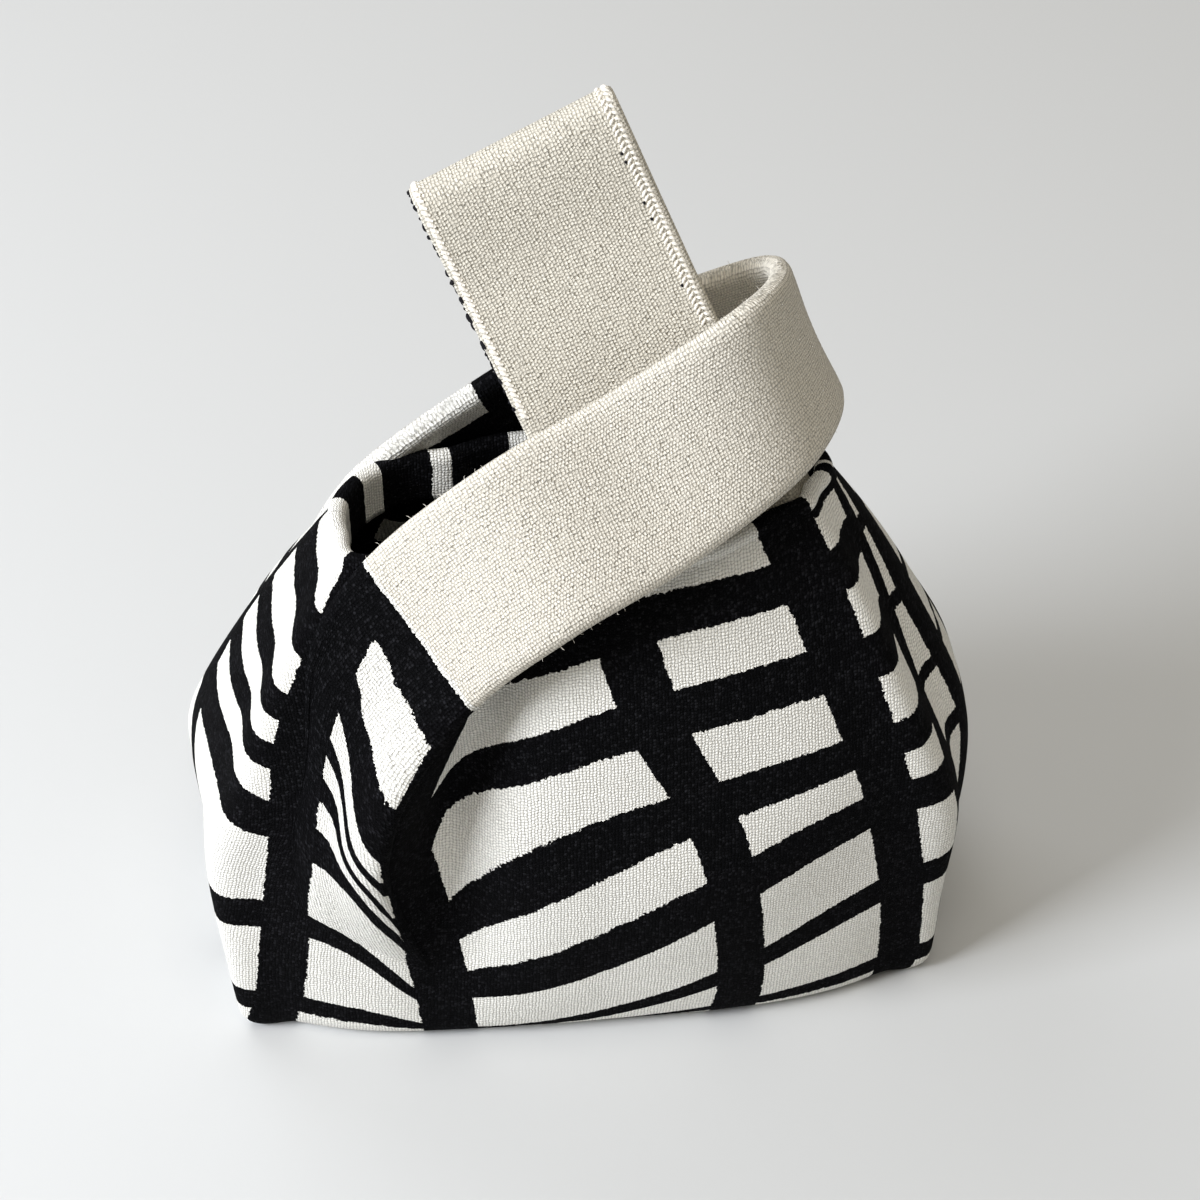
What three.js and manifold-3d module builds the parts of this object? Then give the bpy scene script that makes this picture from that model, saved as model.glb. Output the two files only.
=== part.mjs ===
// Knitted knot bag: a patterned pouch on an oval base, with a short wide handle on its left shoulder
// and a long handle on its right shoulder that is drawn up through the short one.
// Millimetres. +X to the bag's right, -Y to its front, +Z up, the origin under the middle of the base.
import * as THREE from 'three';
import { mergeVertices } from 'three/addons/utils/BufferGeometryUtils.js';
import Module from 'manifold-3d';

const wasm = await Module();
wasm.setup();

// Cloth
const wallCloth = 2.6;
const handleCloth = 3;
const hemCloth = 2;
const seamCloth = 2;
const gap = 0.3;

// Pouch, read at six heights
const baseWidth = 238;
const baseDepth = 124;
const footHeight = 25;
const footWidth = 250;
const footDepth = 130;
const bellyHeight = 75;
const bellyWidth = 264;
const bellyDepth = 136;
const shoulderHeight = 100;
const shoulderWidth = 250;
const shoulderDepth = 132;
const yokeHeight = 132;
const yokeWidth = 208;
const yokeDepth = 116;
const mouthHeight = 172;
const mouthWidth = 146;
const mouthDepth = 70;

// Seams and hem
const hemDepth = 16;
const sideSeamWidth = 8;
const baseSeamWidth = 4;
const baseSeamHeight = 5;

// Short handle: the wide loop
const shortHandleWidth = 58;
const loopRight = 59;
const loopFront = 31;
const loopBack = 38;
const rootHighAngle = 35;
const rootHigh = 146;
const rootLowAngle = 66;
const rootLow = 112;
const rootLift = 3;
const loopFrom = 0.17;
const loopTo = 0.83;
const butt = 0.0012;
// Its way round the strap, from the front root to the back: places from the knot, and the direction across it
const loopWay = [
  [-61, -loopFront - 13, -62, -0.53, 0.62, 0.57],
  [-29, -loopFront - 11, -36, -0.43, 0.45, 0.78],
  [6, -loopFront, -22, -0.38, 0.38, 0.84],
  [loopRight - 17, -20, -2, -0.42, 0.15, 0.89],
  [loopRight, 2, 1, -0.44, 0, 0.9],
  [loopRight - 1, 22, -4, -0.42, -0.1, 0.9],
  [loopRight - 23, loopBack - 6, -12, -0.35, -0.2, 0.9],
  [1, loopBack, -26, -0.3, -0.25, 0.9],
  [-39, loopBack + 2, -46, -0.35, -0.45, 0.8],
  [-62, loopBack - 4, -66, -0.5, -0.6, 0.6],
];

// Long handle: the strap that stands up through the loop
const longHandleWidth = 61;
const strapSpread = 14;
const strapHeight = 74;
const strapLeanLeft = 25;
const strapLeanBack = 28;
const strapSideRise = 30;
const strapSideTurn = 8;
const stemBelow = 12;
const bendFrom = 8;
const bendTo = 28;
const legDepth = 14;
const legAngle = 42;
const legTurn = 34;
const edgeChain = 2.2;

// Knot: the point between the strap's two legs where they leave the loop
const knotRight = 14;
const knotBack = 2;
const knotRise = 46;

const knitWhite = '#efece4';
const knitCream = '#ddd6c9';
const knitBlack = '#1b1b1d';

const degrees = Math.PI / 180;
const unit = (x, y, z) => new THREE.Vector3(x, y, z).normalize();
const at = (origin, ...steps) => {
  const point = origin.clone();
  for (const [direction, length] of steps) point.addScaledVector(direction, length);
  return point;
};

// A smooth curve through [place, value] pairs, flat beyond its ends
function through(pairs) {
  const slope = pairs.map((pair, i) => {
    const before = pairs[Math.max(i - 1, 0)];
    const after = pairs[Math.min(i + 1, pairs.length - 1)];
    return (after[1] - before[1]) / (after[0] - before[0]);
  });
  return (place) => {
    let i = 0;
    while (i < pairs.length - 2 && place > pairs[i + 1][0]) i += 1;
    const span = pairs[i + 1][0] - pairs[i][0];
    const s = Math.min(Math.max((place - pairs[i][0]) / span, 0), 1);
    const h = s * s * (3 - 2 * s);
    return pairs[i][1] * (1 - h) + pairs[i + 1][1] * h
      + span * s * (1 - s) * ((1 - s) * slope[i] - s * slope[i + 1]);
  };
}

// The pouch's rings: half width, half depth, and how square the ring is (2 is an ellipse)
const heights = [0, footHeight, bellyHeight, shoulderHeight, yokeHeight, mouthHeight];
const ring = (values) => through(heights.map((height, i) => [height, values[i]]));
const halfWidth = ring([baseWidth, footWidth, bellyWidth, shoulderWidth, yokeWidth, mouthWidth].map((d) => d / 2));
const halfDepth = ring([baseDepth, footDepth, bellyDepth, shoulderDepth, yokeDepth, mouthDepth].map((d) => d / 2));
const squareness = ring([3.6, 3.2, 2.8, 2.7, 2.5, 2.2]);

// Soft folds: where on the ring, how far each way, how far the cloth stands out at the six heights, and how far
// it leans along the ring. The corners stand out, and the front left has a ridge beside a deep valley.
const level = (value) => ring(heights.map(() => value));
const fold = (angle, reach, depth, lean = level(0)) => ({ angle, reach, depth: ring(depth), lean });
const folds = [
  fold(level(158), 15, [0, -2, -4, -8, -6, -1]),
  fold(ring([188, 190, 190, 187, 184, 180]), 20, [-3, -9, -11, -8, -3, 2]),
  fold(ring([214, 215, 217, 219, 214, 209]), 8, [8, 8, 7, 6, 9, 4]),
  fold(ring([256, 254, 249, 246.5, 245.5, 250]), 7, [0, 0, 4, 9, 9, 2], ring([0, 0, 0, 1, 2, 0])),
  fold(ring([260, 260, 257, 256, 257, 259]), 6, [0, -3, -12, -15, -9, -2]),
  fold(level(275), 16, [0, 3, 4, 2, 0, 0]),
  fold(ring([328, 326, 322, 321, 325, 333]), 8, [7, 6, 5, 6, 6, 3]),
  fold(ring([340, 339, 338, 338, 342, 350]), 9, [0, -3, -6, -5, -3, 1]),
  fold(level(360), 14, [0, -2, -3, 0, 2, 4]),
  fold(level(117), 9, [0, -1, -5, -7, -7, -3]),
];

// A point on the pouch: 180 is the left side, 270 the front, 0 the right side, 90 the back
function wallPoint(angle, z, inset = 0) {
  const c = Math.cos(angle * degrees);
  const s = Math.sin(angle * degrees);
  const n = squareness(z);
  const a = halfWidth(z);
  const b = halfDepth(z);
  const power = (value, exponent) => Math.sign(value) * Math.abs(value) ** exponent;
  const outward = new THREE.Vector2(power(c, 2 - 2 / n) / a, power(s, 2 - 2 / n) / b).normalize();
  let out = -inset;
  let lean = 0;
  for (const { angle: middle, reach, depth, lean: slant } of folds) {
    const turn = ((angle - middle(z) + 540) % 360) - 180;
    const share = Math.exp(-((turn / reach) ** 2));
    out += depth(z) * share;
    lean += slant(z) * share;
  }
  return new THREE.Vector3(
    a * power(c, 2 / n) + outward.x * out - outward.y * lean,
    b * power(s, 2 / n) + outward.y * out + outward.x * lean,
    z,
  );
}

// A closed solid from a row of sections, each a loop of points. Its ends are closed by a ladder across a
// thin section, by a fan round the middle of a full one, or by joining the last section to the first.
function loft(sections, ends = 'ladder') {
  const count = sections[0].length;
  const points = sections.flat();
  const faces = [];
  const last = ends === 'joined' ? sections.length : sections.length - 1;
  for (let i = 0; i < last; i += 1) {
    const here = i * count;
    const next = ((i + 1) % sections.length) * count;
    for (let j = 0; j < count; j += 1) {
      const k = (j + 1) % count;
      faces.push(here + j, here + k, next + k, here + j, next + k, next + j);
    }
  }
  const ladder = (start, flip) => {
    for (let j = 0; j < count / 2 - 1; j += 1) {
      const [a, b, c, d] = [j, j + 1, count - 2 - j, count - 1 - j].map((k) => start + k);
      faces.push(...(flip ? [a, c, b, a, d, c] : [a, b, c, a, c, d]));
    }
  };
  const fan = (start, flip) => {
    const loop = points.slice(start, start + count);
    const middle = points.push(loop.reduce((sum, p) => sum.add(p), new THREE.Vector3()).divideScalar(count)) - 1;
    for (let j = 0; j < count; j += 1) {
      const [a, b] = [start + j, start + ((j + 1) % count)];
      faces.push(...(flip ? [middle, b, a] : [middle, a, b]));
    }
  };
  if (ends !== 'joined') {
    const close = ends === 'fan' ? fan : ladder;
    close(0, true);
    close((sections.length - 1) * count, false);
  }
  const geometry = new THREE.BufferGeometry();
  geometry.setAttribute('position', new THREE.Float32BufferAttribute(points.flatMap((p) => [p.x, p.y, p.z]), 3));
  geometry.setIndex(faces);
  return geometry;
}

const spread = (from, to, steps) => Array.from({ length: steps + 1 }, (_, i) => from + ((to - from) * i) / steps);

// Half of the pouch's ring as a curved sheet between two insets, from one side seam to the other
function halfSheet(front, insetOut, insetIn, zFrom, zTo, columns, rows) {
  const edge = front ? -gap / 2 : gap / 2;
  const angles = front ? spread(180, 360, columns) : spread(0, 180, columns);
  const levels = spread(zFrom, zTo, rows);
  return loft(angles.map((angle, i) => {
    const place = (z, inset) => {
      const p = wallPoint(angle, z, inset);
      if (i === 0 || i === columns) p.y = edge;
      return p;
    };
    const outside = levels.map((z) => place(z, insetOut));
    const inside = levels.map((z) => place(z, insetIn));
    return [...inside, ...outside.reverse()];
  }));
}

// A whole ring of the pouch between two insets
function ringSheet(insetOut, insetIn, zFrom, zTo, columns, rows) {
  const levels = spread(zFrom, zTo, rows);
  const angles = spread(0, 360, columns).slice(0, -1);
  return loft(angles.map((angle) => {
    const outside = levels.map((z) => wallPoint(angle, z, insetOut));
    const inside = levels.map((z) => wallPoint(angle, z, insetIn));
    return [...inside, ...outside.reverse()];
  }), 'joined');
}

// The pouch filled solid, with an inset, to trim what lies on or in it
function pouchSolid(inset, zFrom, zTo, columns, rows) {
  const angles = spread(0, 360, columns).slice(0, -1);
  return loft(spread(zFrom, zTo, rows).map((z) => angles.map((angle) => wallPoint(angle, z, inset))), 'fan');
}

// A flat band of cloth with rounded edges: stations are { centre, across }, evenly spaced along it
function strip(stations, width, thickness, shift = 0) {
  return loft(stations.map(({ centre, across }, i) => {
    const before = stations[Math.max(i - 1, 0)].centre;
    const after = stations[Math.min(i + 1, stations.length - 1)].centre;
    const face = new THREE.Vector3().subVectors(after, before).cross(across).normalize();
    const middle = at(centre, [across, shift]);
    const flat = width / 2 - thickness / 2;
    const corner = (side, up) => at(middle, [across, side], [face, up]);
    return [
      corner(width / 2, 0), corner(flat, thickness / 2), corner(-flat, thickness / 2),
      corner(-width / 2, 0), corner(-flat, -thickness / 2), corner(flat, -thickness / 2),
    ];
  }));
}

// Stations along a smooth route, given as { centre, across } points, between two shares of its length
function along(route, from, to, steps) {
  const reach = 10;
  const one = new THREE.CatmullRomCurve3(route.map((r) => at(r.centre, [r.across, reach])));
  const other = new THREE.CatmullRomCurve3(route.map((r) => at(r.centre, [r.across, -reach])));
  return spread(from, to, steps).map((t) => {
    const a = one.getPoint(t);
    const b = other.getPoint(t);
    return { centre: a.clone().lerp(b, 0.5), across: a.sub(b).normalize() };
  });
}

function solidOf(geometry) {
  const merged = mergeVertices(geometry, 1e-5);
  return new wasm.Manifold(new wasm.Mesh({
    numProp: 3,
    vertProperties: new Float32Array(merged.attributes.position.array),
    triVerts: new Uint32Array(merged.index.array),
  }));
}

// One solid less another, keeping the largest body that is left
function trimmed(geometry, cutter) {
  const bodies = solidOf(geometry).subtract(solidOf(cutter)).decompose();
  bodies.sort((a, b) => b.volume() - a.volume());
  const mesh = bodies[0].getMesh();
  const result = new THREE.BufferGeometry();
  result.setAttribute('position', new THREE.Float32BufferAttribute(mesh.vertProperties, 3));
  result.setIndex(Array.from(mesh.triVerts));
  return result;
}

// The strap's own directions: up along it, across it, and out of its front face
const strapUp = unit(-Math.tan(strapLeanLeft * degrees), Math.tan(strapLeanBack * degrees), 1);
const strapAcross = unit(
  Math.cos(strapSideRise * degrees) * Math.cos(strapSideTurn * degrees),
  Math.cos(strapSideRise * degrees) * Math.sin(strapSideTurn * degrees),
  Math.sin(strapSideRise * degrees),
);
const strapFace = new THREE.Vector3().crossVectors(strapAcross, strapUp).normalize();
const knot = new THREE.Vector3(knotRight, knotBack, mouthHeight + knotRise);
const fromKnot = (x, y, z) => knot.clone().add(new THREE.Vector3(x, y, z));
const strapPoint = (out, up) => at(knot, [strapFace, out], [strapUp, up]);

// The wide loop's route: up from the front left of the pouch, round the strap, and down at the back left
function rootOf(side) {
  const high = wallPoint(180 + side * rootHighAngle, rootHigh, -rootLift);
  const low = wallPoint(180 + side * rootLowAngle, rootLow, -rootLift);
  return { centre: high.clone().lerp(low, 0.5), across: high.sub(low).normalize() };
}
const loopRoute = [
  rootOf(1),
  ...loopWay.map(([x, y, z, acrossX, acrossY, acrossZ]) => (
    { centre: fromKnot(x, y, z), across: unit(acrossX, acrossY, acrossZ) })),
  rootOf(-1),
];

const group = new THREE.Group();
function add(name, geometry, colour, roughness = 0.95) {
  const plain = new THREE.BufferGeometry();
  plain.setAttribute('position', geometry.attributes.position);
  plain.setIndex(geometry.index);
  const mesh = new THREE.Mesh(plain, new THREE.MeshStandardMaterial({ color: colour, roughness, metalness: 0 }));
  mesh.name = name;
  group.add(mesh);
}

// Pouch: base, front and back, with their seam allowances inside
const wallFoot = wallCloth + gap;
const inner = wallCloth + gap;
add('base_panel', pouchSolid(0, 0, wallCloth, 128, 1), knitWhite);
add('front_panel', halfSheet(true, 0, wallCloth, wallFoot, mouthHeight, 64, 14), knitWhite);
add('back_panel', halfSheet(false, 0, wallCloth, wallFoot, mouthHeight, 44, 12), knitWhite);
add('base_seam', ringSheet(inner, inner + baseSeamWidth, wallFoot, wallFoot + baseSeamHeight, 128, 1), knitBlack);

// Side seam allowances: upright tapes behind the joins of front and back
function sideTape(side) {
  const from = wallFoot + baseSeamHeight + gap;
  const to = mouthHeight - hemDepth - gap;
  return loft(spread(from, to, 12).map((z) => {
    const out = Math.abs(wallPoint(side < 0 ? 180 : 0, z, inner + 2 * gap).x);
    const corner = (x, y) => new THREE.Vector3(side * x, side * y, z);
    const half = sideSeamWidth / 2;
    return [corner(out, -half), corner(out, half), corner(out - seamCloth, half), corner(out - seamCloth, -half)];
  }));
}
add('left_side_seam', sideTape(-1), knitWhite);
add('right_side_seam', sideTape(1), knitWhite);

// Turned-in hem round the mouth
const hemOuter = inner + gap;
const hemInner = hemOuter + hemCloth;
const hemFrom = mouthHeight - hemDepth;
add('front_hem', halfSheet(true, hemOuter, hemInner, hemFrom, mouthHeight - gap, 64, 3), knitWhite);
add('back_hem', halfSheet(false, hemOuter, hemInner, hemFrom, mouthHeight - gap, 44, 3), knitWhite);

// Short handle: the loop, and the two roots that grow out of the pouch's left shoulder
const pouchOutside = pouchSolid(-gap, wallFoot, mouthHeight + gap, 112, 28);
const shortStrip = (from, to, steps) => strip(along(loopRoute, from, to, steps), shortHandleWidth, handleCloth);
add('short_handle_loop', shortStrip(loopFrom, loopTo, 64), knitCream);
add('short_handle_front_root', trimmed(shortStrip(0, loopFrom - butt, 16), pouchOutside), knitCream);
add('short_handle_back_root', trimmed(shortStrip(loopTo + butt, 1, 16), pouchOutside), knitCream);

// Long handle: the standing loop, the bend above the knot, and the stems that pass through the wide loop
const legOut = strapSpread / 2;
const straight = (out, from, to, steps) => spread(from, to, steps).map((up) => (
  { centre: strapPoint(out, up), across: strapAcross }));
const crown = spread(0, 180, 16).map((turn) => ({
  centre: strapPoint(legOut * Math.cos(turn * degrees), strapHeight - legOut + legOut * Math.sin(turn * degrees)),
  across: strapAcross,
}));
const standing = [
  ...straight(legOut, bendTo + gap, strapHeight - legOut, 5).slice(0, -1),
  ...crown,
  ...straight(-legOut, strapHeight - legOut, bendTo + gap, 5).slice(1),
];
add('long_handle_loop', strip(standing, longHandleWidth, handleCloth), knitCream);
const edgeOut = longHandleWidth / 2 + gap + edgeChain / 2;
add('long_handle_left_edge', strip(standing, edgeChain, edgeChain, -edgeOut), knitBlack);
add('long_handle_right_edge', strip(standing, edgeChain, edgeChain, edgeOut), knitWhite);

// Each leg leaves the mouth inside the hem and turns up into its stem
const mouthCollar = ringSheet(-strapSpread, hemInner + gap, shoulderHeight, mouthHeight + gap, 112, 14);
function leg(name, side) {
  const out = side * legOut;
  const stripOf = (stations) => strip(stations, longHandleWidth, handleCloth);
  add(`long_handle_${name}_bend`, stripOf(straight(out, bendFrom, bendTo, 4)), knitCream);
  add(`long_handle_${name}_stem`, stripOf(straight(out, -stemBelow, bendFrom - gap, 4)), knitCream);
  const inside = (turn, z) => wallPoint(-side * (legAngle + turn), z, hemInner + handleCloth);
  const chord = inside(-legTurn, mouthHeight).sub(inside(legTurn, mouthHeight)).normalize();
  const middle = (z) => inside(-legTurn, z).lerp(inside(legTurn, z), 0.5);
  const route = [
    { centre: strapPoint(out, -stemBelow - gap), across: strapAcross },
    { centre: strapPoint(out, -stemBelow - 8), across: strapAcross },
    { centre: middle(mouthHeight + gap), across: chord },
    { centre: middle(mouthHeight - legDepth), across: chord },
  ];
  add(`long_handle_${name}_leg`, trimmed(stripOf(along(route, 0, 1, 18)), mouthCollar), knitCream);
}
leg('front', 1);
leg('back', -1);

export default group;
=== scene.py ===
import math

import bpy
import numpy as np
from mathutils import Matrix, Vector


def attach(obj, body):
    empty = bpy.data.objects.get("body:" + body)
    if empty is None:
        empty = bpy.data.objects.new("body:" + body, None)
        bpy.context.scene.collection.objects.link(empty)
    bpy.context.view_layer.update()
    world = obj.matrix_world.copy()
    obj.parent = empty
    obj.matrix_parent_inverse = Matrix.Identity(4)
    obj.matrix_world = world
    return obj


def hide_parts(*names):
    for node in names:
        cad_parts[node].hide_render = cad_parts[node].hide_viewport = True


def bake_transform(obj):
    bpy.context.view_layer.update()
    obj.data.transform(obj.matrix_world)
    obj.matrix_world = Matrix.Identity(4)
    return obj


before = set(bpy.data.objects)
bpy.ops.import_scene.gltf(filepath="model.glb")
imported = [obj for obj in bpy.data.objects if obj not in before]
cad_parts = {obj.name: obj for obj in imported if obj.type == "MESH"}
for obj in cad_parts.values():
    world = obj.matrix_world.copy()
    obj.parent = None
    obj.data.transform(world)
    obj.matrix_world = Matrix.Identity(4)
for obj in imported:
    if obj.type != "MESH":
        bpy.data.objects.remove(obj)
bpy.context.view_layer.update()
bpy.ops.object.select_all(action="DESELECT")

MM = 0.001

# Knit: a step of the pattern's chart, and the pitch of the yarn's own small stitches
STITCH = 1.2
YARN = 1.05
WALL_CLOTH = 2.6
HANDLE_CLOTH = 5.0
GAP = 0.3

# Pouch, read at six heights: half width, half depth, and how square its ring is (2 is an ellipse)
HEIGHTS = [0, 25, 75, 100, 132, 172]
HALF_WIDTH = [119, 125, 132, 125, 104, 73]
HALF_DEPTH = [62, 65, 68, 66, 58, 35]
SQUARENESS = [3.6, 3.2, 2.8, 2.7, 2.5, 2.2]
BELLY = HEIGHTS[2]
MOUTH = HEIGHTS[-1]
FOOT_ROUND = 8
FOOT_INSET = 4

# The strap draws the rim up at the right: how far, how far round, and from what height
PULL = 9
PULL_REACH = 56
PULL_FROM = 105

# Soft folds: place on the ring, reach, how far the cloth stands out at the six heights, how far it leans
FOLDS = [
    ([158] * 6, 15, [0, -2, -4, -8, -6, -1], [0] * 6),
    ([188, 190, 190, 187, 184, 180], 20, [-3, -9, -11, -8, -3, -2], [0] * 6),
    ([214, 215, 217, 219, 214, 209], 8, [8, 8, 7, 6, 9, 4], [0] * 6),
    ([256, 254, 249, 246.5, 245.5, 250], 7, [0, 0, 4, 9, 9, 2], [0, 0, 0, 1, 2, 0]),
    ([260, 260, 257, 256, 257, 259], 6, [0, -3, -12, -15, -9, -2], [0] * 6),
    ([275] * 6, 16, [0, 3, 4, 2, 0, 0], [0] * 6),
    ([328, 326, 322, 321, 325, 333], 8, [7, 6, 5, 6, 6, 3], [0] * 6),
    ([340, 339, 338, 338, 342, 350], 9, [0, -3, -6, -5, -3, 1], [0] * 6),
    ([360] * 6, 14, [0, -2, -3, 0, 2, 4], [0] * 6),
    ([117] * 6, 9, [0, -1, -5, -7, -7, -3], [0] * 6),
]

# Slack in the cloth: how far it stands, waves round the pouch, and how fast they climb it
SLACK = [(0.6, 5, 19), (0.5, 9, -13)]

# Black bars of the front's pattern: their places on the ring at the six heights, from the left side round
FRONT_BARS = [
    [184, 184, 181, 178, 169, 158],
    [219, 226, 232, 231, 223, 218],
    [259.5, 257.3, 252.8, 250, 250.5, 252],
    [280, 282, 281.4, 280, 276.5, 274],
    [317, 315.5, 309.5, 309.5, 313.5, 322],
    [333, 331, 328, 328, 341, 355],
    [352, 350, 347, 349, 353, 361],
]
BACK_BARS = [
    [368, 368, 366, 366, 371, 378],
    [387, 389, 390, 389, 386, 391],
    [403, 404.5, 410.5, 410, 406, 403],
    [440, 438, 438.5, 440, 443.5, 446],
    [460.5, 462.5, 467, 470, 469.5, 468],
    [497, 490, 482, 482, 486, 491],
]
BARS = FRONT_BARS + BACK_BARS + [[place + 360 for place in FRONT_BARS[0]]]
# The bars that lie in the front's fold and the back's, and each bar's width in wales
FRONT_FOLD = 2
BACK_FOLD = -3
BAR_WALES = [9, 13, 14, 13, 13, 8, 9]
ALL_BAR_WALES = BAR_WALES + BAR_WALES[:0:-1] + BAR_WALES[:1]
# How wide the bars stretch at the six heights, and those at the right side that narrow instead
BAR_SPREAD = [1, 1, 1.03, 1.08, 1.17, 1.2]
SIDE_BARS = [5, 7, 8]
SIDE_SPREAD = [1, 1, 1, 0.9, 0.6, 0.45]

# Black rungs, from the base up: the course each lies on, its courses, its height,
# how far it drops where the cloth is drawn into the fold, and how far to either side that is felt
RUNG_COURSES = [9, 44, 78, 99, 121, 143, 160]
RUNG_THICK = [6, 10, 12, 10, 10, 10, 8]
RUNG_HEIGHTS = [15, 58, 95, 118, 138, 162, 180]
LIFTS_LEFT = [5, 1, 13, 7, 2, -3, 0]
DROPS_LEFT = [8, 40, 60, 130, 90, 62, 40]
REACH_LEFT = [20, 21, 14, 10, 20, 38, 27]
BOW_LEFT = [2, 2, 2, 1, 1, 2, 2]
DROPS_RIGHT = [13, 56, 70, 75, 65, 25, 20]
REACH_RIGHT = [110, 115, 102, 65, 26, 26, 25]
BOW_RIGHT = [2, 2.6, 2, 1, 1, 1, 1.2]
LIFT_FROM = 30
LIFT_OVER = 25
FOLD_OVER = 12
BACK_SHARE = 0.4
# Columns with thinner rungs, and how many rungs from the base stay thick in them
THIN_COLUMNS = [(5, 0.5), (6, 0.5), (7, 0.5)]
THICK_RUNGS = 2
# The course at which the handles' cream begins, and the count from which the back root's wales are numbered
CREAM_FROM = 164
BACK_WALES = 1000

# Unevenness of the knit, in swells per metre: sway of the yarns 3.8 mm, uneven stitches 1.2 mm,
# frayed edges of the pattern 0.9 mm, fibres 0.4 mm, worn patches 33 mm, and the loose wool's fibres 0.3 mm
SWAY = 260.0
UNEVEN = 800.0
FRAY = 1100.0
FIBRE = 2600.0
PATCH = 30.0
WOOL_FIBRE = 3000.0


def through(places, values, at):
    """A smooth curve through the values, flat beyond its ends."""
    x = np.asarray(places, float)
    y = np.asarray(values, float)
    after = np.minimum(np.arange(len(x)) + 1, len(x) - 1)
    before = np.maximum(np.arange(len(x)) - 1, 0)
    slope = (y[after] - y[before]) / (x[after] - x[before])
    i = np.clip(np.searchsorted(x, at) - 1, 0, len(x) - 2)
    span = x[i + 1] - x[i]
    s = np.clip((at - x[i]) / span, 0, 1)
    h = s * s * (3 - 2 * s)
    swing = span * s * (1 - s) * ((1 - s) * slope[i] - s * slope[i + 1])
    return y[i] * (1 - h) + y[i + 1] * h + swing


def wall(angle, z, inset=0.0):
    """A point on the pouch: 180 is the left side, 270 the front, 360 the right side, 450 the back."""
    angle, z = np.broadcast_arrays(np.asarray(angle, float), np.asarray(z, float))
    width = through(HEIGHTS, HALF_WIDTH, z)
    depth = through(HEIGHTS, HALF_DEPTH, z)
    n = through(HEIGHTS, SQUARENESS, z)
    c = np.cos(np.radians(angle))
    s = np.sin(np.radians(angle))
    out_x = np.sign(c) * np.abs(c) ** (2 - 2 / n) / width
    out_y = np.sign(s) * np.abs(s) ** (2 - 2 / n) / depth
    length = np.hypot(out_x, out_y)
    out_x, out_y = out_x / length, out_y / length
    out = -np.asarray(inset, float)
    lean = 0.0
    for places, reach, depths, leans in FOLDS:
        turn = (angle - through(HEIGHTS, places, z) + 180) % 360 - 180
        share = np.exp(-((turn / reach) ** 2))
        out = out + through(HEIGHTS, depths, z) * share
        lean = lean + through(HEIGHTS, leans, z) * share
    ripple = 0.0
    for stand, waves, climb in SLACK:
        ripple = ripple + stand * np.sin(np.radians(waves * angle) + z / climb)
    out = out + np.sin(np.pi * np.clip(z / MOUTH, 0, 1)) * ripple
    right = ((angle + 180) % 360 - 180) / PULL_REACH
    above = np.clip((z - PULL_FROM) / (MOUTH - PULL_FROM), 0, 1)
    pulled = z + PULL * np.exp(-(right ** 4)) * above * above * (3 - 2 * above)
    x = width * np.sign(c) * np.abs(c) ** (2 / n) + out_x * out - out_y * lean
    y = depth * np.sign(s) * np.abs(s) ** (2 / n) + out_y * out + out_x * lean
    return np.stack([x, y, pulled], -1)


def hex_colour(code):
    """sRGB hex to linear."""
    values = [int(code[i:i + 2], 16) / 255 for i in (1, 3, 5)]
    return (*[v / 12.92 if v <= 0.04045 else ((v + 0.055) / 1.055) ** 2.4 for v in values], 1.0)


def add(tree, kind, *links, **settings):
    """Adds a node, sets its properties, and links or sets its inputs by (input, socket or value)."""
    node = tree.nodes.new(kind)
    for name, value in settings.items():
        setattr(node, name, value)
    for name, value in links:
        if isinstance(value, bpy.types.NodeSocket):
            tree.links.new(value, node.inputs[name])
        else:
            node.inputs[name].default_value = value
    return node


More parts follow.
